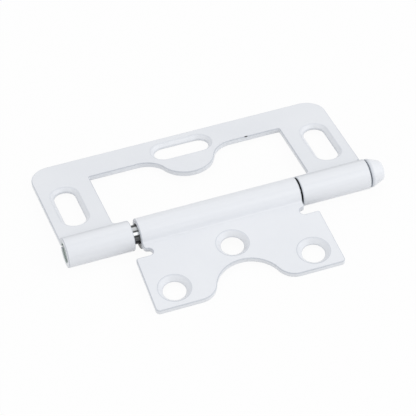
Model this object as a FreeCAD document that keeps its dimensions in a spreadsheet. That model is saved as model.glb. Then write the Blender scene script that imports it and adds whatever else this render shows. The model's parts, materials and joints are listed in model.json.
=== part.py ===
import FreeCAD, Part
import math
import os
import Sketcher

# Non-mortise hinge: two leaves blanked from one thickness of sheet steel and rolled round a pin.
# The small inner leaf folds into the window of the frame leaf, so the closed hinge is one sheet thick.
# It lies open on a table, top side up: its barrel and the far edges of both leaves touch the table.
# X runs along the pin, Y goes back across the frame leaf and Z is up from the table.
# The origin is on the pin axis, in the middle of the frame leaf's width.
# Each leaf is drawn flat, with the pin axis on its X axis and in the middle of its sheet.

# The driving sizes, in millimetres. All other sizes are worked out from them further down.
SIZES = {
    # Sheet, pin and fits.
    "sheet_thickness": 1.35,
    "pin_diameter": 4.6,
    "running_clearance": 0.05,
    "grip_clearance": 0.01,
    # Rolled knuckles: inside radius of the reverse bend, and the open seam under the barrel.
    "frame_bend_radius": 1.3,
    "inner_bend_radius": 0.6,
    "seam_gap": 0.2,
    # Along the pin, from the left end of the frame leaf to its right end.
    "left_knuckle_length": 16.3,
    "left_end_play": 1.55,
    "inner_knuckle_length": 40.05,
    "right_end_play": 0.45,
    "right_knuckle_length": 17.45,
    "right_knuckle_inset": 0.4,
    # Inner leaf: sheet beyond the ends of its knuckle, which widens a little towards the front edge.
    "shoulder_reach": 2.82,
    "inner_flare": 0.35,
    "inner_corner_radius": 1.0,
    "shoulder_corner_radius": 0.5,
    # Inner leaf: relief slots that part the shoulders from the knuckle.
    "relief_width": 2.1,
    "relief_reach": 1.7,
    "inner_tab_corner_radius": 0.8,
    # Inner leaf: screw holes. Margins are measured from the rim of the countersink.
    "hole_diameter": 5.5,
    "hole_countersink": 1.1,
    "middle_hole_setback": 2.34,
    "middle_web": 1.55,
    "side_hole_side_margin": 2.22,
    "side_hole_front_margin": 1.5,
    # Inner leaf: round notch in the front edge.
    "notch_radius": 8.13,
    "notch_centre_inset": 0.12,
    # Gaps round the inner leaf when it is folded into the window of the frame leaf.
    "left_window_clearance": 1.18,
    "right_window_clearance": 1.86,
    "front_clearance": 1.45,
    "notch_clearance": 1.23,
    "shoulder_clearance": 1.35,
    # Frame leaf: strips behind its knuckles, window and outer corners.
    "frame_tab_flat": 0.65,
    "frame_tab_fillet": 1.0,
    "window_corner_radius": 0.5,
    "frame_corner_radius": 5.1,
    # Frame leaf: round lobe on the bar, which fills the notch of the inner leaf when closed.
    "lobe_centre_setback": 1.3,
    "lobe_fillet": 6.05,
    # Frame leaf: screw slots. Lengths run between the centres of their round ends.
    "slot_width": 5.2,
    "slot_countersink": 0.9,
    "leg_slot_length": 8.9,
    "leg_slot_side_margin": 2.45,
    "leg_slot_setback": 2.8,
    "bar_slot_length": 8.6,
    "bar_slot_centre_inset": 2.5,
    "bar_slot_back_margin": 1.9,
    # Pin: bullet head on the right, plain chamfered end sunk in the left knuckle.
    "head_gap": 0.35,
    "head_step": 0.16,
    "head_rim_length": 0.55,
    "head_length": 4.0,
    "head_tip_diameter": 4.8,
    "head_tip_length": 0.6,
    "head_edge_fillet": 1.0,
    "head_rim_fillet": 0.15,
    "pin_end_recess": 0.35,
    "pin_end_chamfer": 0.4,
}

# How far a cut or a selection box reaches past the faces that it works on.
MARGIN = 0.5
NEAR = 1e-4

doc = FreeCAD.newDocument("non_mortise_hinge")
sheet = doc.addObject("Spreadsheet::Sheet", "Sizes")


class Value:
    """A number together with the sheet formula that it comes from."""

    def __init__(self, number, formula=None):
        self.number = float(number)
        self.formula = formula or repr(self.number)

    def __add__(self, other):
        other = as_value(other)
        return Value(self.number + other.number, f"({self.formula} + {other.formula})")

    def __sub__(self, other):
        other = as_value(other)
        return Value(self.number - other.number, f"({self.formula} - {other.formula})")

    def __mul__(self, other):
        other = as_value(other)
        return Value(self.number * other.number, f"({self.formula} * {other.formula})")

    def __truediv__(self, other):
        other = as_value(other)
        return Value(self.number / other.number, f"({self.formula} / {other.formula})")

    def __neg__(self):
        return Value(-self.number, f"(-{self.formula})")


def as_value(thing):
    return thing if isinstance(thing, Value) else Value(thing)


def square_root(value):
    return Value(math.sqrt(value.number), f"sqrt({value.formula})")


def arc_sine(value):
    return Value(math.degrees(math.asin(value.number)), f"asin({value.formula})")


def arc_tangent(value):
    return Value(math.degrees(math.atan(value.number)), f"atan({value.formula})")


def write_sheet():
    for row, (name, number) in enumerate(SIZES.items(), start=1):
        sheet.set(f"A{row}", name)
        sheet.set(f"B{row}", str(number))
        sheet.setAlias(f"B{row}", name)
    doc.recompute()


def size(name):
    return Value(sheet.get(name), f"Sizes.{name}")


def bind(thing, path, value):
    """Set a property from the sheet."""
    thing.setExpression(path, value.formula)


def new_body(label):
    body = doc.addObject("PartDesign::Body", label)
    body.Label = label
    return body


def new_sketch(body, name, role, offset=None):
    """A sketch on one of the body's own origin planes, moved along its normal where an offset is given."""
    sketch = body.newObject("Sketcher::SketchObject", name)
    plane = next(item for item in body.Origin.OriginFeatures if item.Role == role)
    sketch.AttachmentSupport = [(plane, "")]
    sketch.MapMode = "FlatFace"
    if offset is not None:
        sketch.AttachmentOffset = FreeCAD.Placement(FreeCAD.Vector(0, 0, offset.number), FreeCAD.Rotation())
        bind(sketch, "AttachmentOffset.Base.z", offset)
    return sketch


def vector(x, y):
    return FreeCAD.Vector(x, y, 0)


def constrain(sketch, kind, *places, value=None):
    """One constraint, driven by the sheet where it has a value."""
    if value is None:
        sketch.addConstraint(Sketcher.Constraint(kind, *places))
        return
    index = sketch.addConstraint(Sketcher.Constraint(kind, *places, value.number))
    bind(sketch, f"Constraints[{index}]", value)


def place_point(sketch, edge, end, x, y):
    """Hold one point of an edge at its distances from the sketch's origin."""
    constrain(sketch, "DistanceX", edge, end, value=x)
    constrain(sketch, "DistanceY", edge, end, value=y)


def draw_polygon(sketch, corners):
    """Straight sides through the corners, each corner a pair of values."""
    for index, (x, y) in enumerate(corners):
        next_x, next_y = corners[(index + 1) % len(corners)]
        line = Part.LineSegment(vector(x.number, y.number), vector(next_x.number, next_y.number))
        sketch.addGeometry(line, False)
    for index, (x, y) in enumerate(corners):
        constrain(sketch, "Coincident", index, 2, (index + 1) % len(corners), 1)
        place_point(sketch, index, 1, x, y)


def draw_circle(sketch, x, y, radius):
    circle = Part.Circle(vector(x.number, y.number), FreeCAD.Vector(0, 0, 1), radius.number)
    edge = sketch.addGeometry(circle, False)
    place_point(sketch, edge, 3, x, y)
    constrain(sketch, "Radius", edge, value=radius)


def draw_slot(sketch, first, second, radius):
    """A slot with two round ends, whose centres are given as pairs of values."""
    along = math.atan2(second[1].number - first[1].number, second[0].number - first[0].number)
    side = vector(-math.sin(along), math.cos(along)) * radius.number
    centres = [vector(end[0].number, end[1].number) for end in (first, second)]
    quarter = math.pi / 2
    turns = (along + quarter, along - quarter)
    arcs = []
    for centre, start in zip(centres, turns):
        circle = Part.Circle(centre, FreeCAD.Vector(0, 0, 1), radius.number)
        arcs.append(sketch.addGeometry(Part.ArcOfCircle(circle, start, start + math.pi), False))
    near_side = sketch.addGeometry(Part.LineSegment(centres[0] - side, centres[1] - side), False)
    far_side = sketch.addGeometry(Part.LineSegment(centres[1] + side, centres[0] + side), False)
    constrain(sketch, "Tangent", arcs[0], 2, near_side, 1)
    constrain(sketch, "Tangent", near_side, 2, arcs[1], 1)
    constrain(sketch, "Tangent", arcs[1], 2, far_side, 1)
    constrain(sketch, "Tangent", far_side, 2, arcs[0], 1)
    place_point(sketch, arcs[0], 3, *first)
    place_point(sketch, arcs[1], 3, *second)
    constrain(sketch, "Radius", arcs[0], value=radius)


def pad(body, name, sketch, length, side="Symmetric"):
    feature = body.newObject("PartDesign::Pad", name)
    feature.Profile = (sketch, [""])
    feature.SideType = side
    feature.Length = length.number
    bind(feature, "Length", length)
    doc.recompute()
    return feature


def cut_through(body, name, sketch, length):
    """Cut the sketch through the sheet, as far to each side, and make sure that something went."""
    before = body.Shape.Volume
    feature = body.newObject("PartDesign::Pocket", name)
    feature.Profile = (sketch, [""])
    feature.SideType = "Symmetric"
    feature.Length = length.number
    bind(feature, "Length", length)
    doc.recompute()
    if not body.Shape.Volume < before - NEAR:
        raise RuntimeError(name + " cut nothing")
    return feature


def upright_edges(shape, places):
    """Names of the edges that stand square to the sheet at the given places."""
    names = []
    for number, edge in enumerate(shape.Edges, start=1):
        box = edge.BoundBox
        if box.XLength > NEAR or box.YLength > NEAR:
            continue
        for x, y in places:
            if abs(box.XMin - x) < 0.01 and abs(box.YMin - y) < 0.01:
                names.append(f"Edge{number}")
    return names


def edges_within(shape, x_range, y_range, z_range):
    """Names of the edges that lie wholly inside a box."""
    names = []
    for number, edge in enumerate(shape.Edges, start=1):
        box = edge.BoundBox
        inside_x = x_range[0] < box.XMin and box.XMax < x_range[1]
        inside_y = y_range[0] < box.YMin and box.YMax < y_range[1]
        inside_z = z_range[0] < box.ZMin and box.ZMax < z_range[1]
        if inside_x and inside_y and inside_z:
            names.append(f"Edge{number}")
    return names


def round_edges(body, name, edges, radius):
    base = body.Tip
    feature = body.newObject("PartDesign::Fillet", name)
    feature.Base = (base, edges)
    feature.Radius = radius.number
    bind(feature, "Radius", radius)
    doc.recompute()
    return feature


def round_corners(body, name, places, radius):
    """Round the corners of the flat outline that stand at the given places."""
    numbers = [(x.number, y.number) for x, y in places]
    return round_edges(body, name, upright_edges(body.Shape, numbers), radius)


def countersink(body, name, x_range, y_range, depth):
    """Slope the top edges of the openings inside the given range at 45 degrees."""
    top = sheet_thickness.number / 2
    edges = edges_within(body.Shape, x_range, y_range, (top - NEAR, top + NEAR))
    base = body.Tip
    feature = body.newObject("PartDesign::Chamfer", name)
    feature.Base = (base, edges)
    feature.Size = depth.number
    bind(feature, "Size", depth)
    doc.recompute()
    return feature


def bend_start(outer_radius, bend_radius):
    """How far from the pin axis the flat sheet ends and the reverse bend of a knuckle begins."""
    reach = outer_radius + bend_radius
    rise = sheet_thickness / 2 + bend_radius
    return square_root(reach * reach - rise * rise)


def draw_rolled_strip(sketch, direction, outer_radius, bend_radius, tab_depth):
    """Section of a rolled strip, across the pin.

    The strip comes in flat from the leaf, bends up, wraps over the top of the pin and all the way
    round, and stops short of its own underside. Direction is 1 for a leaf that lies on the +Y side
    of the pin and -1 for one on the -Y side. The curves are drawn where they end up, and held by
    tangency, their radii and the half thickness of the sheet.
    """
    half = sheet_thickness.number / 2
    outer = outer_radius.number
    inner = outer - sheet_thickness.number
    small = bend_radius.number
    large = small + sheet_thickness.number
    bend_up = half + small
    bend_out = bend_start(outer_radius, bend_radius).number
    rise = math.atan2(bend_up, bend_out)
    clear = large + seam_gap.number
    across = (outer ** 2 + (outer + small) ** 2 - clear ** 2) / (2 * outer * (outer + small))
    lip = 2 * math.pi + rise - math.acos(across)
    tab = tab_depth.number
    bend_centre = vector(direction * bend_out, bend_up)
    centre = vector(0, 0)

    def point(radius, angle):
        return vector(direction * radius * math.cos(angle), radius * math.sin(angle))

    def arc(middle, radius, start, stop):
        """An arc from start to stop, given for a leaf on the +Y side and mirrored for the other."""
        if direction < 0:
            start, stop = math.pi - stop, math.pi - start
        circle = Part.Circle(middle, FreeCAD.Vector(0, 0, 1), radius)
        return sketch.addGeometry(Part.ArcOfCircle(circle, start, stop), False)

    def line(start, stop):
        return sketch.addGeometry(Part.LineSegment(start, stop), False)

    top = line(vector(direction * tab, half), vector(direction * bend_out, half))
    top_bend = arc(bend_centre, small, math.pi + rise, 1.5 * math.pi)
    barrel = arc(centre, outer, rise, lip)
    lip_end = line(point(outer, lip), point(inner, lip))
    bore = arc(centre, inner, rise, lip)
    under_bend = arc(bend_centre, large, math.pi + rise, 1.5 * math.pi)
    bottom = line(vector(direction * bend_out, -half), vector(direction * tab, -half))
    joint = line(vector(direction * tab, -half), vector(direction * tab, half))

    # Arcs run anticlockwise, so the mirrored section swaps the ends of each arc.
    first, last = (1, 2) if direction > 0 else (2, 1)
    constrain(sketch, "Tangent", top, 2, top_bend, last)
    constrain(sketch, "Tangent", top_bend, first, barrel, first)
    constrain(sketch, "Coincident", barrel, last, lip_end, 1)
    constrain(sketch, "Coincident", lip_end, 2, bore, last)
    constrain(sketch, "Tangent", bore, first, under_bend, first)
    constrain(sketch, "Tangent", under_bend, last, bottom, 1)
    constrain(sketch, "Coincident", bottom, 2, joint, 1)
    constrain(sketch, "Coincident", joint, 2, top, 1)
    constrain(sketch, "Coincident", barrel, 3, -1, 1)
    constrain(sketch, "Coincident", bore, 3, -1, 1)
    constrain(sketch, "Coincident", top_bend, 3, under_bend, 3)
    constrain(sketch, "Horizontal", top)
    constrain(sketch, "Horizontal", bottom)
    constrain(sketch, "PointOnObject", -1, 1, lip_end)
    place_point(sketch, top, 1, tab_depth * direction, sheet_thickness / 2)
    place_point(sketch, bottom, 2, tab_depth * direction, -sheet_thickness / 2)
    constrain(sketch, "Radius", barrel, value=outer_radius)
    constrain(sketch, "Radius", top_bend, value=bend_radius)
    lip_distance = bend_radius + sheet_thickness + seam_gap
    constrain(sketch, "Distance", barrel, last, top_bend, 3, value=lip_distance)


def roll_knuckle(body, name, direction, radii, tab_depth, start, length):
    """One knuckle with its bend and the flat strip behind it, from start along the pin.

    The radii are the outside of the barrel and the inside of the reverse bend.
    """
    sketch = new_sketch(body, name + "_section", "YZ_Plane", start)
    draw_rolled_strip(sketch, direction, *radii, tab_depth)
    return pad(body, name, sketch, length, side="One side")


def resting_tilt(depth):
    """How far a leaf tips down from level until its far bottom edge meets the table.

    The barrel stands on the table, so the table is one knuckle radius below the pin axis.
    """
    half = sheet_thickness / 2
    reach = square_root(depth * depth + half * half)
    return arc_sine(inner_knuckle_radius / reach) - arc_tangent(half / depth)


def place_on_pin(body, along_pin, turn):
    """Slide a body along the pin axis and turn it about the axis."""
    body.Placement = FreeCAD.Placement(
        FreeCAD.Vector(along_pin.number, 0, 0),
        FreeCAD.Rotation(FreeCAD.Vector(1, 0, 0), turn.number),
    )
    bind(body, "Placement.Base.x", along_pin)
    bind(body, "Placement.Rotation.Angle", turn)


write_sheet()

# Values that several pieces share.
sheet_thickness = size("sheet_thickness")
seam_gap = size("seam_gap")
pin_radius = size("pin_diameter") / 2
cut_length = sheet_thickness + 2 * MARGIN

frame_knuckle_radius = pin_radius + size("grip_clearance") + sheet_thickness
inner_knuckle_radius = pin_radius + size("running_clearance") + sheet_thickness
frame_radii = (frame_knuckle_radius, size("frame_bend_radius"))
inner_radii = (inner_knuckle_radius, size("inner_bend_radius"))

# Along the pin: knuckles and end play add up to the width of the frame leaf.
knuckles_and_play = (
    size("left_knuckle_length") + size("left_end_play") + size("inner_knuckle_length")
    + size("right_end_play") + size("right_knuckle_length")
)
half_width = (knuckles_and_play + size("right_knuckle_inset")) / 2
left_knuckle_end = size("left_knuckle_length") - half_width
inner_knuckle_half = size("inner_knuckle_length") / 2
inner_middle = left_knuckle_end + size("left_end_play") + inner_knuckle_half
right_knuckle_start = inner_middle + inner_knuckle_half + size("right_end_play")
right_knuckle_end = half_width - size("right_knuckle_inset")

# Across the pin: the strips behind the knuckles, then the shoulders of the inner leaf.
frame_tab_depth = bend_start(*frame_radii) + size("frame_tab_flat")
shoulder_depth = frame_tab_depth + size("frame_tab_fillet") + size("shoulder_clearance")
inner_tab_depth = shoulder_depth - size("relief_width")

# The inner leaf's screw holes and notch, one after the other, reach down to its front edge.
hole_radius = size("hole_diameter") / 2
hole_rim_radius = hole_radius + size("hole_countersink")
middle_hole_depth = bend_start(*inner_radii) + size("middle_hole_setback") + hole_rim_radius
notch_top = middle_hole_depth + hole_rim_radius + size("middle_web")
notch_centre_depth = notch_top + size("notch_radius")
inner_depth = notch_centre_depth + size("notch_centre_inset")
inner_back_half = inner_knuckle_half + size("shoulder_reach")
inner_front_half = inner_back_half + size("inner_flare")

# The window of the frame leaf takes the inner leaf with a gap all round.
window_left = inner_middle - inner_front_half - size("left_window_clearance")
window_right = inner_middle + inner_front_half + size("right_window_clearance")
bar_front = inner_depth + size("front_clearance")
slot_radius = size("slot_width") / 2
slot_rim_radius = slot_radius + size("slot_countersink")
bar_slot_depth = bar_front + size("bar_slot_centre_inset")
frame_depth = bar_slot_depth + slot_rim_radius + size("bar_slot_back_margin")


def make_frame_leaf():
    """The U-shaped leaf: two legs with a rolled knuckle each, joined by a bar with a round lobe."""
    body = new_body("frame_leaf")
    blank = new_sketch(body, "frame_blank", "XY_Plane")
    draw_polygon(blank, [
        (-half_width, frame_tab_depth),
        (window_left, frame_tab_depth),
        (window_left, bar_front),
        (window_right, bar_front),
        (window_right, frame_tab_depth),
        (half_width, frame_tab_depth),
        (half_width, frame_depth),
        (-half_width, frame_depth),
    ])
    pad(body, "frame_plate", blank, sheet_thickness)

    lobe = new_sketch(body, "lobe_outline", "XY_Plane")
    lobe_centre_depth = bar_front - size("lobe_centre_setback")
    lobe_radius = size("notch_radius") - size("notch_clearance")
    draw_circle(lobe, Value(0), lobe_centre_depth, lobe_radius)
    pad(body, "lobe", lobe, sheet_thickness)

    for name, start, length in (
        ("left_knuckle", -half_width, size("left_knuckle_length")),
        ("right_knuckle", right_knuckle_start, size("right_knuckle_length")),
    ):
        roll_knuckle(body, name, 1, frame_radii, frame_tab_depth, start, length)

    lobe_rise = size("lobe_centre_setback")
    lobe_half = square_root(lobe_radius * lobe_radius - lobe_rise * lobe_rise)
    lobe_corners = [(-lobe_half, bar_front), (lobe_half, bar_front)]
    round_corners(body, "lobe_fillets", lobe_corners, size("lobe_fillet"))
    outer_corners = [(-half_width, frame_depth), (half_width, frame_depth)]
    round_corners(body, "outer_corners", outer_corners, size("frame_corner_radius"))
    window_corners = [(window_left, bar_front), (window_right, bar_front)]
    round_corners(body, "window_corners", window_corners, size("window_corner_radius"))
    tab_corners = [(window_left, frame_tab_depth), (window_right, frame_tab_depth)]
    round_corners(body, "tab_fillets", tab_corners, size("frame_tab_fillet"))

    slots = new_sketch(body, "slot_outlines", "XY_Plane")
    leg_slot_across = half_width - size("leg_slot_side_margin") - slot_rim_radius
    leg_slot_near = frame_tab_depth + size("leg_slot_setback") + slot_rim_radius
    leg_slot_far = leg_slot_near + size("leg_slot_length")
    half_bar_slot = size("bar_slot_length") / 2
    for side in (-1, 1):
        across = leg_slot_across * side
        draw_slot(slots, (across, leg_slot_near), (across, leg_slot_far), slot_radius)
    draw_slot(slots, (-half_bar_slot, bar_slot_depth), (half_bar_slot, bar_slot_depth), slot_radius)
    cut_through(body, "slots", slots, cut_length)

    reach = slot_radius.number + MARGIN
    leg_range = (leg_slot_near.number - reach, leg_slot_far.number + reach)
    slope = size("slot_countersink")
    for side, name in ((-1, "left"), (1, "right")):
        middle = side * leg_slot_across.number
        countersink(body, name + "_slot_countersink", (middle - reach, middle + reach), leg_range, slope)
    bar_reach = half_bar_slot.number + reach
    bar_range = (bar_slot_depth.number - reach, bar_slot_depth.number + reach)
    countersink(body, "bar_slot_countersink", (-bar_reach, bar_reach), bar_range, slope)

    place_on_pin(body, Value(0), -resting_tilt(frame_depth))
    return body


def make_inner_leaf():
    """The small leaf: one long knuckle, relief slots beside it, a notch and three screw holes.

    It is drawn about the middle of its own knuckle.
    """
    body = new_body("inner_leaf")
    blank = new_sketch(body, "inner_blank", "XY_Plane")
    draw_polygon(blank, [
        (inner_knuckle_half, -inner_tab_depth),
        (-inner_knuckle_half, -inner_tab_depth),
        (-inner_knuckle_half, -shoulder_depth),
        (-inner_back_half, -shoulder_depth),
        (-inner_front_half, -inner_depth),
        (inner_front_half, -inner_depth),
        (inner_back_half, -shoulder_depth),
        (inner_knuckle_half, -shoulder_depth),
    ])
    pad(body, "inner_plate", blank, sheet_thickness)
    length = size("inner_knuckle_length")
    roll_knuckle(body, "inner_knuckle", -1, inner_radii, inner_tab_depth, -inner_knuckle_half, length)

    relief = size("relief_width")
    relief_radius = relief / 2
    relief_line = -(inner_tab_depth + relief_radius)
    relief_end = inner_knuckle_half - size("relief_reach") + relief_radius
    reliefs = new_sketch(body, "relief_outlines", "XY_Plane")
    for side in (-1, 1):
        open_end = (inner_back_half + relief) * side
        draw_slot(reliefs, (relief_end * side, relief_line), (open_end, relief_line), relief_radius)
    cut_through(body, "relief_slots", reliefs, cut_length)
    tab_corners = [(-inner_knuckle_half, -inner_tab_depth), (inner_knuckle_half, -inner_tab_depth)]
    round_corners(body, "inner_tab_corners", tab_corners, size("inner_tab_corner_radius"))

    notch_radius = size("notch_radius")
    notch_drop = size("notch_centre_inset")
    notch = new_sketch(body, "notch_outline", "XY_Plane")
    draw_circle(notch, Value(0), -notch_centre_depth, notch_radius)
    cut_through(body, "notch", notch, cut_length)
    notch_half = square_root(notch_radius * notch_radius - notch_drop * notch_drop)
    notch_corners = [(-notch_half, -inner_depth), (notch_half, -inner_depth)]
    notch_fillet = size("lobe_fillet") - size("notch_clearance")
    round_corners(body, "notch_fillets", notch_corners, notch_fillet)
    front_corners = [(-inner_front_half, -inner_depth), (inner_front_half, -inner_depth)]
    round_corners(body, "front_corners", front_corners, size("inner_corner_radius"))
    shoulder_corners = [(-inner_back_half, -shoulder_depth), (inner_back_half, -shoulder_depth)]
    round_corners(body, "shoulder_corners", shoulder_corners, size("shoulder_corner_radius"))

    side_across = inner_front_half - size("side_hole_side_margin") - hole_rim_radius
    side_depth = inner_depth - size("side_hole_front_margin") - hole_rim_radius
    holes = [
        (-side_across, -side_depth, "left"),
        (side_across, -side_depth, "right"),
        (Value(0), -middle_hole_depth, "middle"),
    ]
    outlines = new_sketch(body, "hole_outlines", "XY_Plane")
    for x, y, name in holes:
        draw_circle(outlines, x, y, hole_radius)
    cut_through(body, "screw_holes", outlines, cut_length)
    reach = hole_radius.number + MARGIN
    for x, y, name in holes:
        across = (x.number - reach, x.number + reach)
        along = (y.number - reach, y.number + reach)
        countersink(body, name + "_hole_countersink", across, along, size("hole_countersink"))

    place_on_pin(body, inner_middle, resting_tilt(inner_depth))
    return body


def make_hinge_pin():
    """The turned pin with its bullet head, one piece."""
    body = new_body("hinge_pin")
    end = size("pin_end_recess") - half_width
    chamfer = size("pin_end_chamfer")
    head_start = right_knuckle_end + size("head_gap")
    head_radius = frame_knuckle_radius - size("head_step")
    cone_start = head_start + size("head_rim_length")
    head_end = head_start + size("head_length")
    tip_start = head_end - size("head_tip_length")
    tip_radius = size("head_tip_diameter") / 2

    profile = new_sketch(body, "pin_profile", "XY_Plane")
    corners = [
        (end, Value(0)),
        (end, pin_radius - chamfer),
        (end + chamfer, pin_radius),
        (head_start, pin_radius),
        (head_start, head_radius),
        (cone_start, head_radius),
        (tip_start, tip_radius),
        (head_end, Value(0)),
    ]
    # Each corner starts a side; the side from the cone to the tip of the head is an arc.
    dome = len(corners) - 2
    for index, (x, y) in enumerate(corners):
        next_x, next_y = corners[(index + 1) % len(corners)]
        start = vector(x.number, y.number)
        stop = vector(next_x.number, next_y.number)
        if index == dome:
            length = head_end.number - tip_start.number
            sphere = (length ** 2 + tip_radius.number ** 2) / (2 * length)
            centre = vector(head_end.number - sphere, 0)
            turn = math.asin(tip_radius.number / sphere)
            circle = Part.Circle(centre, FreeCAD.Vector(0, 0, 1), sphere)
            profile.addGeometry(Part.ArcOfCircle(circle, 0, turn), False)
        else:
            profile.addGeometry(Part.LineSegment(start, stop), False)
    for index, (x, y) in enumerate(corners):
        # The arc runs anticlockwise, from the tip back to the cone.
        this_end = 1 if index == dome else 2
        following = (index + 1) % len(corners)
        next_start = 2 if following == dome else 1
        constrain(profile, "Coincident", index, this_end, following, next_start)
        place_point(profile, index, 2 if index == dome else 1, x, y)
    constrain(profile, "PointOnObject", dome, 3, -1)
    turned = body.newObject("PartDesign::Revolution", "turned_pin")
    turned.Profile = (profile, [""])
    turned.ReferenceAxis = (profile, ["H_Axis"])
    turned.Angle = 360
    doc.recompute()

    reach = head_radius.number + MARGIN
    across = (-reach, reach)
    near_tip = (tip_start.number - NEAR, tip_start.number + NEAR)
    round_edges(body, "head_shoulder", edges_within(body.Shape, near_tip, across, across),
                size("head_edge_fillet"))
    near_cone = (cone_start.number - NEAR, cone_start.number + NEAR)
    round_edges(body, "head_rim", edges_within(body.Shape, near_cone, across, across),
                size("head_rim_fillet"))
    return body


def check_document(bodies):
    """Stop if any object failed or any piece has no sound solid."""
    for item in doc.Objects:
        if "Invalid" in item.State or "Error" in item.State:
            raise RuntimeError(f"{item.Label}: {item.State}")
    for body in bodies:
        if body.Shape.isNull() or not body.Shape.isValid() or len(body.Shape.Solids) != 1:
            raise RuntimeError(body.Label + " is not one sound solid")


def write_steps(bodies):
    os.makedirs("parts", exist_ok=True)
    for body in bodies:
        body.Shape.exportStep(f"parts/{body.Label}.step")
        print(body.Label, "volume", round(body.Shape.Volume, 2), "mm3")


pieces = [make_frame_leaf(), make_inner_leaf(), make_hinge_pin()]
doc.recompute()
check_document(pieces)
write_steps(pieces)
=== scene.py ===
# %% [markdown]
# # A white non-mortise hinge
#
# This hinge is cut from one thickness of sheet steel. A small leaf folds into the window of a
# U-shaped leaf, so the closed hinge is only one sheet thick and needs no recess in the wood.
# The construction model gives each piece its true size and place. Here the pieces get what makes
# them look real: edges rounded by their paint, a smooth white enamel, a bright pin and soft light.

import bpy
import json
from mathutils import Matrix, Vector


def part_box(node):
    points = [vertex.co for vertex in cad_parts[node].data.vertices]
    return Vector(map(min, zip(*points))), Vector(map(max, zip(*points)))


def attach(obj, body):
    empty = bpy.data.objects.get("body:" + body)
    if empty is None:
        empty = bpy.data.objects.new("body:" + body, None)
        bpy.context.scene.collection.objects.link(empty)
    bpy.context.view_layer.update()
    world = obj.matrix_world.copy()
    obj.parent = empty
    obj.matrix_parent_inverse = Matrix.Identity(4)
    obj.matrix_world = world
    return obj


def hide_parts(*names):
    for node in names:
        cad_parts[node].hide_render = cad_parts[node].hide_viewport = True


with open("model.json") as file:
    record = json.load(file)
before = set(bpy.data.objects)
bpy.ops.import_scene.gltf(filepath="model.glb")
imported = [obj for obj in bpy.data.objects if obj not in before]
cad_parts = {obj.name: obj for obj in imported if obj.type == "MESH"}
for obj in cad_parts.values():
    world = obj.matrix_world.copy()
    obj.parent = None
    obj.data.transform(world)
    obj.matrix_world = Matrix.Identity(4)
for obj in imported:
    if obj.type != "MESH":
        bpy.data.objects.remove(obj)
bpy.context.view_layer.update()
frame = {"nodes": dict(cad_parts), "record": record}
print("nodes:", sorted(frame["nodes"]))

# %% [markdown]
# ## Units
#
# Blender's unit is the metre, and this hinge is measured in millimetres. So each length below is
# written in millimetres times MM, which keeps the numbers those that a maker would read off a
# caliper.

# %% Blender's modules
import json
import math

import bpy
from mathutils import Matrix, Vector

MM = 0.001

# %% [markdown]
# ## Helpers for choosing and finishing
#
# An operator works on whatever is selected, so each step starts from a clean selection with one
# active object. The two helpers below are used for every piece, and a third prints how fine its
# mesh has become.

# %% Selection helpers
def choose_only(piece):
    """Select one object and make it active."""
    bpy.ops.object.select_all(action="DESELECT")
    piece.select_set(True)
    bpy.context.view_layer.objects.active = piece


def apply_modifier(piece, modifier):
    """Make a modifier's result the piece's own mesh."""
    choose_only(piece)
    bpy.ops.object.modifier_apply(modifier=modifier.name)


def describe(piece):
    """Print the size of a piece's mesh."""
    mesh = piece.data
    print(piece.name, "has", len(mesh.vertices), "points and", len(mesh.polygons), "faces")


# %% [markdown]
# ## A working copy of each piece
#
# The model arrives as loose triangles, which is right for showing a shape but not for rounding
# its edges: a bevel needs faces that share their edges. So each piece is copied, its doubled
# points are merged, and the triangles that lie in one plane are dissolved into broad faces.
# The copy then takes the place of the piece that it came from.

# %% Copy, merge and clean a piece
merge_distance = 0.0005 * MM
flat_angle = math.radians(0.2)


def working_copy(node_name, new_name):
    """A joined-up copy of a construction piece, at the same place."""
    node = frame["nodes"][node_name]
    piece = node.copy()
    piece.data = node.data.copy()
    piece.name = new_name
    piece.parent = None
    bpy.context.collection.objects.link(piece)
    piece.matrix_world = node.matrix_world
    piece.data.materials.clear()
    choose_only(piece)
    bpy.ops.object.mode_set(mode="EDIT")
    bpy.ops.mesh.select_all(action="SELECT")
    bpy.ops.mesh.remove_doubles(threshold=merge_distance)
    bpy.ops.mesh.customdata_custom_splitnormals_clear()
    bpy.ops.mesh.dissolve_limited(angle_limit=flat_angle)
    bpy.ops.object.mode_set(mode="OBJECT")
    return piece


frame_leaf = working_copy("frame_leaf", "frame_leaf_enamelled")
inner_leaf = working_copy("inner_leaf", "inner_leaf_enamelled")
hinge_pin = working_copy("hinge_pin", "hinge_pin_finished")
for piece in (frame_leaf, inner_leaf, hinge_pin):
    describe(piece)

# %% [markdown]
# ## Rounded, painted edges
#
# A sheet-metal part is never sharp. The punch rounds one side of the blank a little, and the
# enamel then pulls back from every edge. The edges could be rounded one by one in the
# construction model. A bevel modifier does it in one step instead: it rounds every edge that
# turns by more than a set angle, and leaves the fine facets of the curved walls alone. Below a
# countersink only a thin ring of wall, the land, is left, so its two edges get a smaller
# rounding. A bevel weight on each edge says how much of the full width it takes.

# %% Find the thin lands of the screw holes
slack = 0.04 * MM
screw_holes = [
    mount for mount in frame["record"]["mounts"] if mount["name"].endswith("screw_hole")
]
print("screw holes:", [hole["name"] for hole in screw_holes])


def is_on_hole_land(place):
    """True at the land of a round screw hole, whose place and radius come from the record."""
    for hole in screw_holes:
        axis = Vector(hole["axis"])
        offset = place - Vector(hole["pos_m"])
        across = offset - axis * offset.dot(axis)
        if across.length < hole["dims"]["r_mm"] * MM + slack:
            return True
    return False


# %% Weigh the sharp edges
land_edge = 0.10 * MM
sharp_angle = math.radians(25)
print("an edge is sharp above", round(math.degrees(sharp_angle)), "degrees")


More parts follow.
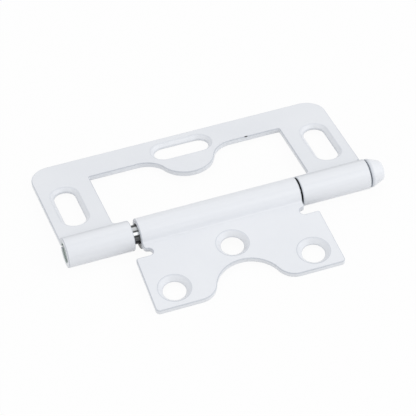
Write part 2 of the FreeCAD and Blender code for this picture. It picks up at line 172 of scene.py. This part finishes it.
def weigh_sharp_edges(piece, width):
    """Give each sharp edge the share of the width that it takes, and each other edge none."""
    choose_only(piece)
    bpy.ops.object.mode_set(mode="EDIT")
    bpy.ops.mesh.select_mode(type="EDGE")
    bpy.ops.mesh.select_all(action="DESELECT")
    bpy.ops.mesh.edges_select_sharp(sharpness=sharp_angle)
    bpy.ops.object.mode_set(mode="OBJECT")
    points = piece.data.vertices
    weights = piece.data.attributes.new("bevel_weight_edge", "FLOAT", "EDGE")
    sharp_edges = [edge for edge in piece.data.edges if edge.select]
    for edge in sharp_edges:
        middle = (points[edge.vertices[0]].co + points[edge.vertices[1]].co) / 2
        weights.data[edge.index].value = land_edge / width if is_on_hole_land(middle) else 1
    print(piece.name, "has", len(sharp_edges), "sharp edges")


# %% [markdown]
# The bevel puts its new faces on a material of their own, the second slot, because enamel runs
# thin on an edge; the grey there is partly thin paint and partly painted shade. After that the
# broad faces lead the shading of the narrow ones beside them, so that a flat sheet still looks
# flat up to its edge.

# %% Round and shade the edges
edge_steps = 3
edge_slot = 1
smooth_angle = math.radians(35)
print("each rounding has", edge_steps, "steps")


def round_edges(piece, width):
    """Bevel the weighted edges, and put the new faces in the second material slot."""
    weigh_sharp_edges(piece, width)
    bevel = piece.modifiers.new("rounded_edges", "BEVEL")
    bevel.width = width
    bevel.segments = edge_steps
    bevel.limit_method = "WEIGHT"
    bevel.use_clamp_overlap = False
    bevel.material = edge_slot
    apply_modifier(piece, bevel)


def smooth_shading(piece):
    """Smooth the gentle turns, and let the broad faces lead so that they stay flat."""
    choose_only(piece)
    bpy.ops.object.shade_smooth_by_angle(angle=smooth_angle)
    flatter = piece.modifiers.new("broad_faces_lead", "WEIGHTED_NORMAL")
    flatter.keep_sharp = True
    apply_modifier(piece, flatter)


# %% [markdown]
# ## Building a finish from nodes
#
# A finish is a small network: patterns and distances go in, a colour and a fine relief come out
# and feed the shader. The same few steps come back in the finishes of this hinge, so each one is
# a short function. All of them start from the piece's own coordinates, so a finish stays put on
# its piece from every side and at every angle of the hinge.

# %% Start a material
def new_material(name):
    """A new material and the shader that its nodes feed."""
    material = bpy.data.materials.new(name)
    material.use_nodes = True
    return material, material.node_tree.nodes["Principled BSDF"]


def link(material, source, target):
    """Join the output of one node to the input of another."""
    material.node_tree.links.new(source, target)


def add_node(material, kind, label, operation=None):
    """A new node with a label and, for a maths node, its operation."""
    node = material.node_tree.nodes.new(kind)
    node.label = label
    if operation:
        node.operation = operation
    return node


def own_coordinates(material):
    """The place of each point in the piece's own coordinates."""
    return add_node(material, "ShaderNodeTexCoord", "place").outputs["Object"]


# %% Patterns, and relief from a pattern
def add_noise(material, place, label, scale, detail):
    """Cloudy noise between 0 and 1."""
    noise = add_node(material, "ShaderNodeTexNoise", label)
    noise.inputs["Scale"].default_value = scale
    noise.inputs["Detail"].default_value = detail
    link(material, place, noise.inputs["Vector"])
    return noise.outputs["Fac"]


def scaled_place(material, place, label, scale):
    """The place, scaled along each axis: a pattern is drawn out where the scale is small."""
    mapping = add_node(material, "ShaderNodeMapping", label)
    mapping.inputs["Scale"].default_value = scale
    link(material, place, mapping.inputs["Vector"])
    return mapping.outputs["Vector"]


def add_relief(material, shader, pattern, strength, depth):
    """Light the surface as if the pattern stood out of it by a small depth."""
    bump = add_node(material, "ShaderNodeBump", "relief")
    bump.inputs["Strength"].default_value = strength
    bump.inputs["Distance"].default_value = depth
    link(material, pattern, bump.inputs["Height"])
    link(material, bump.outputs["Normal"], shader.inputs["Normal"])


# %% Colours
# A Mix node has sockets for every kind of data, so the ones for colours are found by number.
mix_first, mix_second, mix_result = 6, 7, 2


def add_ramp(material, value, label, stops):
    """Colours that follow a value. Each stop is a position from 0 to 1 and a colour."""
    ramp = add_node(material, "ShaderNodeValToRGB", label)
    elements = ramp.color_ramp.elements
    for index, (position, colour) in enumerate((stops[0], stops[-1])):
        elements[index].position = position
        elements[index].color = (*colour, 1)
    for position, colour in stops[1:-1]:
        elements.new(position).color = (*colour, 1)
    link(material, value, ramp.inputs["Fac"])
    return ramp.outputs["Color"]


def blend(material, share, label, colour, other):
    """A colour that turns into another one where the share is 1."""
    mix = add_node(material, "ShaderNodeMix", label)
    mix.data_type = "RGBA"
    mix.inputs[mix_second].default_value = (*other, 1)
    link(material, share, mix.inputs["Factor"])
    link(material, colour, mix.inputs[mix_first])
    return mix.outputs[mix_result]


# %% Distances
across_pin = (0, 1, 1)


def distance_from(material, place, label, middle, stretch):
    """How far a point lies from a middle, when each axis counts by its own factor."""
    offset = add_node(material, "ShaderNodeVectorMath", label, "SUBTRACT")
    offset.inputs[1].default_value = middle
    stretched = add_node(material, "ShaderNodeVectorMath", "stretched", "MULTIPLY")
    stretched.inputs[1].default_value = stretch
    length = add_node(material, "ShaderNodeVectorMath", "length", "LENGTH")
    link(material, place, offset.inputs[0])
    link(material, offset.outputs["Vector"], stretched.inputs[0])
    link(material, stretched.outputs["Vector"], length.inputs[0])
    return length.outputs["Value"]


def is_within(material, place, label, middle, stretch, reach):
    """1 where that distance is less than the reach, else 0."""
    inside = add_node(material, "ShaderNodeMath", "inside", "LESS_THAN")
    inside.inputs[1].default_value = reach
    link(material, distance_from(material, place, label, middle, stretch), inside.inputs[0])
    return inside.outputs["Value"]


def rise(material, value, label, start, end):
    """0 up to the start, then rising to 1 at the end, whichever of the two is larger."""
    mapped = add_node(material, "ShaderNodeMapRange", label)
    mapped.inputs["From Min"].default_value = start
    mapped.inputs["From Max"].default_value = end
    link(material, value, mapped.inputs["Value"])
    return mapped.outputs["Result"]


def rise_along_pin(material, place, start, end):
    """The same rise, by the place along the pin, which is the X axis."""
    parts = add_node(material, "ShaderNodeSeparateXYZ", "along the pin")
    link(material, place, parts.inputs["Vector"])
    return rise(material, parts.outputs["X"], "from start to end", start, end)


# %% [markdown]
# ## White enamel
#
# The paint is a smooth, slightly cool white with half gloss. Up close it isn't flat: it has a
# faint ripple where it flowed before it dried, and its tone drifts a little over the sheet. On
# the rolled knuckles it shows long faint streaks, left by the tool that curled the sheet. An
# image could hold all this, but noise needs no unwrapping and has no seam on a rolled sheet.

# %% Drift on the sheet, streaks on the knuckles
knuckle_reach = 3.8 * MM
streak_stretch = (20, 1000, 1000)


def paint_pattern(material, place):
    """Broad noise on the flat sheet, and long streaks on the knuckles."""
    drift = add_noise(material, place, "tone drift", scale=60, detail=3)
    drawn_out = scaled_place(material, place, "drawn out along the knuckle", streak_stretch)
    streaks = add_noise(material, drawn_out, "roll streaks", scale=1, detail=2)
    rolled = is_within(material, place, "from the axis", (0, 0, 0), across_pin, knuckle_reach)
    pattern = add_node(material, "ShaderNodeMix", "sheet or knuckle")
    link(material, rolled, pattern.inputs["Factor"])
    link(material, drift, pattern.inputs["A"])
    link(material, streaks, pattern.inputs["B"])
    return pattern.outputs["Result"]


# %% [markdown]
# Little steel shows through the paint: one small chip in the front wall of the bar. A dark patch
# low on the left end of the middle knuckle is painted shadow in the gap beside it. Each could be a
# face of its own, but a face would have to be cut to the patch's outline. A place in the paint
# needs no cut: it is given by a middle, a stretch along each axis and a reach.

# %% Chip and painted shadow
# Near-black: the chip's bare steel, and painted shadow at the middle knuckle's end.
chip_and_shadow_tone = (0.012, 0.012, 0.014)
chip_and_shadow_spots = (
    ("chip in the wall of the bar", Vector((16.15, 25.42, -1.70)) * MM, (1, 2.4, 2.4), 0.42 * MM),
    ("painted shadow at the end of the middle knuckle", Vector((-20.25, -1.55, -2.65)) * MM, (6, 1, 1), 1.65 * MM),
)


def add_chip_and_painted_shadow(material, place, paint):
    """The paint's colour, with the dark chip and the painted shadow in it."""
    for label, middle, stretch, reach in chip_and_shadow_spots:
        inside = is_within(material, place, label, middle, stretch, reach)
        paint = blend(material, inside, "paint with chip and painted shadow", paint, chip_and_shadow_tone)
    return paint


print("chip and painted shadow:", [spot[0] for spot in chip_and_shadow_spots])

# %% Enamel material
half_gloss = 0.34
paint_ior = 1.5
dark_below, light_above = 0.35, 0.65
print("enamel roughness:", half_gloss)


def make_enamel(name, tones, shade_where=None, shade_tone=None):
    """Half-gloss enamel, whose colour drifts between a light and a dark tone.

    It can also carry painted shade in one place, which the function given for it finds.
    """
    light, dark = tones
    material, shader = new_material(name)
    shader.inputs["Roughness"].default_value = half_gloss
    shader.inputs["IOR"].default_value = paint_ior
    place = own_coordinates(material)
    stops = ((dark_below, dark), (light_above, light))
    paint = add_ramp(material, paint_pattern(material, place), "two tones", stops)
    if shade_where:
        share = shade_where(material, place)
        paint = blend(material, share, "paint or painted shade", paint, shade_tone)
    paint = add_chip_and_painted_shadow(material, place, paint)
    link(material, paint, shader.inputs["Base Color"])
    ripple = add_noise(material, place, "flow ripple", scale=700, detail=2)
    add_relief(material, shader, ripple, strength=0.25, depth=0.02 * MM)
    return material


# %% [markdown]
# ## Four tones of one paint
#
# The same enamel covers both leaves. It is full on the broad faces. It is thin and greyer on the
# rounded edges, and a little less so on the blunt rims of the countersinks; that grey is partly
# thin paint and partly painted shade. In the fold behind each knuckle of the frame leaf the
# enamel is darker, which is painted shade in the crease, and it fades out further up the barrel.
# The edges and rims have faces of their own, while the fold is found by its distance from a line
# along the pin.

# %% Mix the enamels
full_tones = ((0.80, 0.82, 0.858), (0.775, 0.797, 0.838))
# Grey tones of the rounded edges and countersink rims: partly thin paint, partly painted shade.
thin_paint_and_shade_tones = ((0.63, 0.66, 0.71), (0.56, 0.59, 0.64))
rim_tones = ((0.74, 0.765, 0.81), (0.70, 0.725, 0.77))
# Darker tone in the fold behind the frame leaf's knuckles: painted shade in the crease.
painted_fold_shade_tone = (0.60, 0.625, 0.665)
fold_line = Vector((0, 3.0, 1.9)) * MM
fold_limit = 2.9 * MM
fold_core = 1.4 * MM


def painted_fold_shade_share(material, place):
    """Painted shade, 1 in the fold behind a frame knuckle, falling to 0 further up its barrel."""
    distance = distance_from(material, place, "from the fold", fold_line, across_pin)
    return rise(material, distance, "near the fold", fold_limit, fold_core)


enamel = make_enamel("white_enamel", full_tones)
frame_enamel_with_fold_shade = make_enamel("frame_leaf_enamel_fold_shade", full_tones, painted_fold_shade_share, painted_fold_shade_tone)
thin_enamel_and_edge_shade = make_enamel("thin_edge_enamel_and_shade", thin_paint_and_shade_tones)
rim_enamel = make_enamel("countersink_rim_enamel", rim_tones)
print("paints:", [paint.name for paint in (enamel, frame_enamel_with_fold_shade, thin_enamel_and_edge_shade, rim_enamel)])

# %% [markdown]
# ## Bare steel and painted shade inside the knuckles
#
# No paint reaches the inside of a knuckle, because the pin fills it. What shows in the gaps is the
# bare wall of the bore and its rounded mouth, and their near-black colour is painted shade. It is
# dull steel with a mottle of darker spots. Only at the open left end of the hinge does the painted
# shade give way to a paler steel grey, along the X axis. One material does both, because the shade
# fades out gradually and a second material would end at a line.

# %% Bare steel and painted shade
# Near-black steel tones: painted shade in the bores and the gap; the open end is paler.
painted_shade_dark = (0.008, 0.009, 0.010)
painted_shade_light = (0.035, 0.036, 0.038)
open_end_steel = (0.42, 0.47, 0.46)
open_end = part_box("frame_leaf")[0][0]
bore_shade_full = open_end + 0.75 * MM
bore_shade_begins = open_end + 0.45 * MM


def make_steel_and_painted_shade():
    """Dull, mottled steel, near black as painted shade, paler grey at the open left end."""
    material, shader = new_material("steel_with_painted_shade")
    shader.inputs["Metallic"].default_value = 0.6
    shader.inputs["Roughness"].default_value = 0.6
    place = own_coordinates(material)
    mottle = add_noise(material, place, "steel mottle", scale=900, detail=3)
    steel = add_ramp(material, mottle, "steel tones", ((0.3, painted_shade_dark), (0.7, painted_shade_light)))
    spray = rise_along_pin(material, place, bore_shade_full, bore_shade_begins)
    tone = blend(material, spray, "open end, out of the painted shade", steel, open_end_steel)
    link(material, tone, shader.inputs["Base Color"])
    add_relief(material, shader, mottle, strength=0.3, depth=0.01 * MM)
    return material


steel_and_painted_shade = make_steel_and_painted_shade()
print("the open end is at", round(open_end / MM, 2), "mm")

# %% [markdown]
# ## Which faces take the painted shade
#
# Two kinds of face on a leaf get the near-black steel: the wall of a bore with its rounded mouth,
# which carries no paint, and the flat end of the right knuckle, which faces the middle one across
# the gap. On both the dark is painted shade. They could be picked by hand, but there are hundreds
# of them, so they are found by their place: a bore's faces lie close to the pin's axis, and the
# end face lies in one plane.

# %% Find the faces in painted shade
painted_edge = 0.22 * MM
bore_radius = 2.35 * MM
mouth_reach = bore_radius + painted_edge + slack
gap_end_x = 20.25 * MM
gap_end_reach = 5.2 * MM


def axis_distance(point):
    """How far a point lies from the pin's axis, which is the X axis of the model."""
    return math.hypot(point.y, point.z)


def is_inside_bore(corners):
    """True for the wall of a bore and the rounding of its mouth."""
    return all(axis_distance(corner) < mouth_reach for corner in corners)


# The end face by the gap gets the same painted shade as the bores.
def is_gap_end_face(corners):
    """True for the flat end of the right knuckle."""
    flat_on_end = all(abs(corner.x - gap_end_x) < merge_distance for corner in corners)
    return flat_on_end and all(axis_distance(corner) < gap_end_reach for corner in corners)


def is_in_painted_shade(piece, face):
    """True for a face of a leaf that gets the steel with painted shade."""
    corners = [piece.data.vertices[index].co for index in face.vertices]
    return is_inside_bore(corners) or is_gap_end_face(corners)


print("faces take painted shade up to", round(mouth_reach / MM, 2), "mm from the axis")

# %% [markdown]
# ## Countersinks
#
# A countersink is a wide cone, so its rim is a blunt corner, and the enamel thins less over it
# than over a square edge. The rounded faces near a screw opening therefore get a tone between the
# two, whose grey, as on the other edges, is partly painted shade. The record that comes with the
# model says where each opening is, and a slot is a line of such places.

# %% Find the screw openings
sunk_reach = 4.1 * MM
slot_half_length = 4.4 * MM
along_pin = Vector((1, 0, 0))


def screw_lines():
    """The middle line of each screw opening, as two end points."""
    lines = []
    for mount in frame["record"]["mounts"]:
        middle = Vector(mount["pos_m"])
        if mount["name"].endswith("screw_hole"):
            along = Vector((0, 0, 0))
        elif mount["name"] == "bar_slot":
            along = along_pin * slot_half_length
        elif mount["name"].endswith("leg_slot"):
            along = Vector(mount["axis"]).cross(along_pin).normalized() * slot_half_length
        else:
            continue
        lines.append((middle - along, middle + along))
    return lines


screws = screw_lines()
print("screw openings:", len(screws))


def is_near_screw(face):
    """True close to the middle line of a screw opening."""
    for start, end in screws:
        length = (end - start).length
        share = 0.0
        if length > 0:
            share = min(max((face.center - start).dot(end - start) / length ** 2, 0.0), 1.0)
        if (face.center - start.lerp(end, share)).length < sunk_reach:
            return True
    return False


# %% [markdown]
# ## The lower edges of the sheet
#
# The grey line of thin paint and painted shade follows the upper edges of the sheet only. The
# edges that turn down to the table, where its light reaches them, keep the full paint and look as
# white as the walls above them. A face tells by its normal which way it turns. The barrels are
# left out, because the ends of the knuckles keep the grey line all round.

# %% Find the lower edges of the sheet
barrel_reach = 4.5 * MM
downward = -0.15


def is_lower_edge(face):
    """True for a rounded edge that turns downwards, outside the barrels."""
    return face.normal.z < downward and axis_distance(face.center) > barrel_reach


# %% [markdown]
# ## The two leaves
#
# Now the finishes meet the shapes. Each leaf gets its four materials first, because the bevel
# puts its faces in the second slot. After the rounding, each face is given the slot of its finish,
# some of which carry painted shade.

# %% Finish the two leaves
# The thin slot's grey on the upper edges is partly thin paint and partly painted shade.
full_slot, thin_paint_and_shade_slot, shade_steel_slot, rim_slot = 0, edge_slot, 2, 3


def leaf_finish(leaf, face):
    """The slot of the finish that a face of a leaf has."""
    if is_in_painted_shade(leaf, face):
        return shade_steel_slot
    if face.material_index != thin_paint_and_shade_slot:
        return full_slot
    if is_near_screw(face):
        return rim_slot
    return full_slot if is_lower_edge(face) else thin_paint_and_shade_slot


for leaf, paint in ((frame_leaf, frame_enamel_with_fold_shade), (inner_leaf, enamel)):
    for material in (paint, thin_enamel_and_edge_shade, steel_and_painted_shade, rim_enamel):
        leaf.data.materials.append(material)
    round_edges(leaf, painted_edge)
    smooth_shading(leaf)
    for face in leaf.data.polygons:
        face.material_index = leaf_finish(leaf, face)
    slots = [face.material_index for face in leaf.data.polygons]
    print(slots.count(shade_steel_slot), "faces in painted shade and", slots.count(rim_slot), "on the screw rims")
    describe(leaf)

# %% [markdown]
# ## The pin's plating
#
# The pin is turned from steel and plated. Its colour is bright on top and near black underneath,
# where the dark is painted shade in the gaps between the knuckles. A mirror would need a whole
# room to reflect, so the bright and dark bands are painted reflections, put in the metal's own
# colour. An angle round the pin's axis, found from the piece's own coordinates, places those
# bands.

# %% Tones round the pin
# Bright and dark bands round the pin are painted reflections; the dark underside is painted shade.
painted_underside_shade = (0.015, 0.016, 0.018)
plating_tint = (0.95, 0.98, 1)
painted_reflection_bands = (
    (1, 0.13), (24, 0.16), (28, 0.04), (35, 0.04), (40, 0.8), (54, 0.8), (58, 0.07),
    (64, 0.07), (68, 0.5), (90, 0.5), (96, 0.07), (150, 0.03),
)


def painted_reflection_stops():
    """The stops of a colour ramp for one whole turn round the pin, from front over top."""
    stops = [(0, painted_underside_shade)]
    for degrees, tone in painted_reflection_bands:
        stops.append((degrees / 360, [part * tone for part in plating_tint]))
    return [*stops, (1, painted_underside_shade)]


print("tones round the pin, by degrees from the front:", painted_reflection_bands)

# %% Angle round the pin's axis
def turn_round_axis(material, place):
    """0 at the front, 0.25 on top, 0.5 behind and 0.75 underneath."""
    parts = add_node(material, "ShaderNodeSeparateXYZ", "across the pin")
    front = add_node(material, "ShaderNodeMath", "towards the front", "MULTIPLY")
    front.inputs[1].default_value = -1
    angle = add_node(material, "ShaderNodeMath", "angle", "ARCTAN2")
    turn = add_node(material, "ShaderNodeMath", "part of a turn", "DIVIDE")
    turn.inputs[1].default_value = math.tau
    wrapped = add_node(material, "ShaderNodeMath", "from 0 to 1", "FRACT")
    link(material, place, parts.inputs["Vector"])
    link(material, parts.outputs["Y"], front.inputs[0])
    link(material, parts.outputs["Z"], angle.inputs[0])
    link(material, front.outputs["Value"], angle.inputs[1])
    link(material, angle.outputs["Value"], turn.inputs[0])
    link(material, turn.outputs["Value"], wrapped.inputs[0])
    return wrapped.outputs["Value"]


# %% [markdown]
# The lathe also left fine rings on the pin. They are too small to model, so a noise that is
# squeezed along the X axis changes the gloss from ring to ring and lifts each one a little.

# %% Plated steel
ring_squeeze = (4000, 60, 60)
bright_gloss, dull_gloss = 0.25, 0.45


def make_plating(name):
    """Plating with painted reflections on top, painted shade below, finely ringed by the lathe."""
    material, shader = new_material(name)
    shader.inputs["Metallic"].default_value = 1
    place = own_coordinates(material)
    around = turn_round_axis(material, place)
    tones = add_ramp(material, around, "bright top, dark underside", painted_reflection_stops())
    link(material, tones, shader.inputs["Base Color"])
    squeezed = scaled_place(material, place, "rings", ring_squeeze)
    rings = add_noise(material, squeezed, "turning rings", scale=1, detail=2)
    gloss = add_node(material, "ShaderNodeMapRange", "gloss of the rings")
    gloss.inputs["To Min"].default_value = bright_gloss
    gloss.inputs["To Max"].default_value = dull_gloss
    link(material, rings, gloss.inputs["Value"])
    link(material, gloss.outputs["Result"], shader.inputs["Roughness"])
    add_relief(material, shader, rings, strength=0.3, depth=0.01 * MM)
    return material


plating = make_plating("bright_plating")
print("plating roughness from", bright_gloss, "to", dull_gloss)

# %% [markdown]
# ## The pin's painted head
#
# Only the head was left outside when the hinge was painted, so it is white like the leaves, and
# it darkens towards the gap between it and the knuckle, which is painted shade. The left end of
# the pin sits inside the open knuckle and has the same steel as the bore around it, pale at the
# open end and painted shade further in. Three materials on one mesh are enough, and a face's
# place along the pin says which it gets.

# %% Finish the pin
pin_edge = 0.10 * MM
head_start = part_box("frame_leaf")[1][0] - 0.1 * MM
head_shade_begins = head_start + 0.9 * MM
head_shade_full = head_start + 0.2 * MM
# Darker tone on the head next to the gap: painted shade.
painted_gap_shade_tone = (0.62, 0.65, 0.70)
# The pin's left end takes the bore's steel, with its painted shade further in.
pin_end_in_bore = open_end + 0.7 * MM
plated_slot, head_slot, steel_slot = range(3)


def painted_gap_shade_share(material, place):
    """Painted shade, 0 on the head of the pin, rising to 1 at the gap by the knuckle."""
    return rise_along_pin(material, place, head_shade_begins, head_shade_full)


def pin_finish(face):
    """The slot of the finish that a face of the pin has."""
    if face.center.x > head_start:
        return head_slot
    return steel_slot if face.center.x < pin_end_in_bore else plated_slot


head_enamel_with_gap_shade = make_enamel("head_enamel_with_gap_shade", full_tones, painted_gap_shade_share, painted_gap_shade_tone)
for material in (plating, head_enamel_with_gap_shade, steel_and_painted_shade):
    hinge_pin.data.materials.append(material)
round_edges(hinge_pin, pin_edge)
smooth_shading(hinge_pin)
for face in hinge_pin.data.polygons:
    face.material_index = pin_finish(face)
describe(hinge_pin)

# %% [markdown]
# ## In the place of the plain pieces
#
# Each finished copy now rides on the body of the piece that it came from, so it moves with the
# hinge's joint, and the plain piece is hidden.

# %% Put the finished pieces in the place of the plain ones
for piece, node_name, body, slot in (
    (frame_leaf, "frame_leaf", "frame_side", "leaf_enamel"),
    (inner_leaf, "inner_leaf", "door_side", "leaf_enamel"),
    (hinge_pin, "hinge_pin", "frame_side", "pin_metal"),
):
    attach(piece, body)
    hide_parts(node_name)
    print(piece.name, "rides on", body)

# %% [markdown]
# ## Floor and background
#
# The hinge lies on a plain pale table. Where the camera looks at the table directly it is nearly
# white, and it still takes a little shadow from the hinge. For every other ray it is a plain
# white table, which throws soft light up under the barrel and the edges. A table that only glowed
# would take no shadow, and a plain one would look grey, so the two are mixed.

# %% Rays that see a surface directly
def seen_directly(tree):
    """1 where the camera, a reflection or a see-through ray meets the surface, else 0."""
    rays = tree.nodes.new("ShaderNodeLightPath")
    total = rays.outputs["Is Camera Ray"]
    for name in ("Is Glossy Ray", "Is Transmission Ray"):
        either = tree.nodes.new("ShaderNodeMath")
        either.operation = "MAXIMUM"
        tree.links.new(total, either.inputs[0])
        tree.links.new(rays.outputs[name], either.inputs[1])
        total = either.outputs["Value"]
    return total


# %% Table paint
table_tone = (0.8, 0.8, 0.8, 1)
white_share = 0.95


def make_table_paint():
    """Dull white paint that looks nearly pure white to the camera."""
    material, shader = new_material("table_white")
    shader.inputs["Base Color"].default_value = table_tone
    shader.inputs["Roughness"].default_value = 1
    shader.inputs["Specular IOR Level"].default_value = 0
    glow = add_node(material, "ShaderNodeEmission", "white to the camera")
    glow.inputs["Strength"].default_value = 1
    share = add_node(material, "ShaderNodeMath", "how white", "MULTIPLY")
    share.inputs[1].default_value = white_share
    mix = add_node(material, "ShaderNodeMixShader", "table or white")
    output = material.node_tree.nodes["Material Output"]
    link(material, seen_directly(material.node_tree), share.inputs[0])
    link(material, share.outputs["Value"], mix.inputs["Fac"])
    link(material, shader.outputs["BSDF"], mix.inputs[1])
    link(material, glow.outputs["Emission"], mix.inputs[2])
    link(material, mix.outputs["Shader"], output.inputs["Surface"])
    return material


# %% Table
table_size = 3
table_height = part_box("inner_leaf")[0][2]
bpy.ops.object.select_all(action="DESELECT")
bpy.ops.mesh.primitive_plane_add(size=table_size, location=(0, 0, table_height))
table = bpy.context.active_object
table.name = "table"
table.data.materials.append(make_table_paint())
print("table at", round(table_height / MM, 2), "mm")

# %% [markdown]
# ## Light
#
# The photo was taken in soft, nearly even light, and a pale world gives most of it. The world
# looks pure white to the camera, but lights the hinge with less, so that the lamps still count.
# Two broad lamps at the front, of which the right one is stronger, round off the barrel and shade
# the slopes of the countersinks, and a weak one behind lifts the top of the barrel. Together they
# light a flat face at a plain level, at which a colour renders about as it is written.

# %% World
room_level = 0.70

world = bpy.data.worlds.new("soft_room")
bpy.context.scene.world = world
world.use_nodes = True
room = world.node_tree
room_light = room.nodes["Background"]
room_light.inputs["Color"].default_value = (1, 1, 1, 1)
room_light.inputs["Strength"].default_value = room_level
white_back = room.nodes.new("ShaderNodeBackground")
white_back.inputs["Color"].default_value = (1, 1, 1, 1)
white_back.inputs["Strength"].default_value = 1
mix = room.nodes.new("ShaderNodeMixShader")
room.links.new(seen_directly(room), mix.inputs["Fac"])
room.links.new(room_light.outputs["Background"], mix.inputs[1])
room.links.new(white_back.outputs["Background"], mix.inputs[2])
room.links.new(mix.outputs["Shader"], room.nodes["World Output"].inputs["Surface"])
print("room light:", room_level)

# %% Lamps
def add_soft_lamp(name, place, size, power):
    """A square area lamp that looks at the hinge, with its size in metres and power in watts."""
    data = bpy.data.lights.new(name, "AREA")
    data.size = size
    data.energy = power
    lamp = bpy.data.objects.new(name, data)
    bpy.context.collection.objects.link(lamp)
    lamp.location = place
    lamp.rotation_euler = Vector(place).to_track_quat("Z", "Y").to_euler()
    print(name, "at", place, "with", power, "W")


add_soft_lamp("right_lamp", (0.6, -0.4, 0.5), size=1.0, power=3.4)
add_soft_lamp("left_lamp", (-0.7, -0.3, 0.5), size=1.0, power=1.2)
add_soft_lamp("back_lamp", (0.0, 0.5, 0.75), size=0.6, power=0.6)

# %% [markdown]
# ## Camera
#
# The camera stands to the left of the pin's middle and looks down at about 43 degrees, with a
# long lens and a slight lean. These angles and the distance were worked out from the outline in
# the photo. A direction and a distance from the point that it aims at are easier to set and to
# change than three coordinates and three turns.

# %% Camera
camera_azimuth = math.radians(-17.61)
camera_elevation = math.radians(42.57)
camera_lean = math.radians(-2.56)
camera_distance = 514.8 * MM
camera_aim = Vector((-2.1, 1.5, 0.9)) * MM
focal_length = 188.17
sensor_width = 36
nearest_sight = 10 * MM

back = Vector((
    math.sin(camera_azimuth) * math.cos(camera_elevation),
    -math.cos(camera_azimuth) * math.cos(camera_elevation),
    math.sin(camera_elevation),
))
turn = back.to_track_quat("Z", "Y").to_matrix().to_4x4() @ Matrix.Rotation(camera_lean, 4, "Z")
camera_data = bpy.data.cameras.new("camera")
camera_data.lens = focal_length
camera_data.sensor_width = sensor_width
camera_data.clip_start = nearest_sight
camera = bpy.data.objects.new("camera", camera_data)
bpy.context.collection.objects.link(camera)
camera.matrix_world = Matrix.Translation(camera_aim + back * camera_distance) @ turn
bpy.context.scene.camera = camera
bpy.context.scene.view_settings.view_transform = "Standard"
print("camera at", [round(value / MM, 1) for value in camera.matrix_world.translation], "mm")
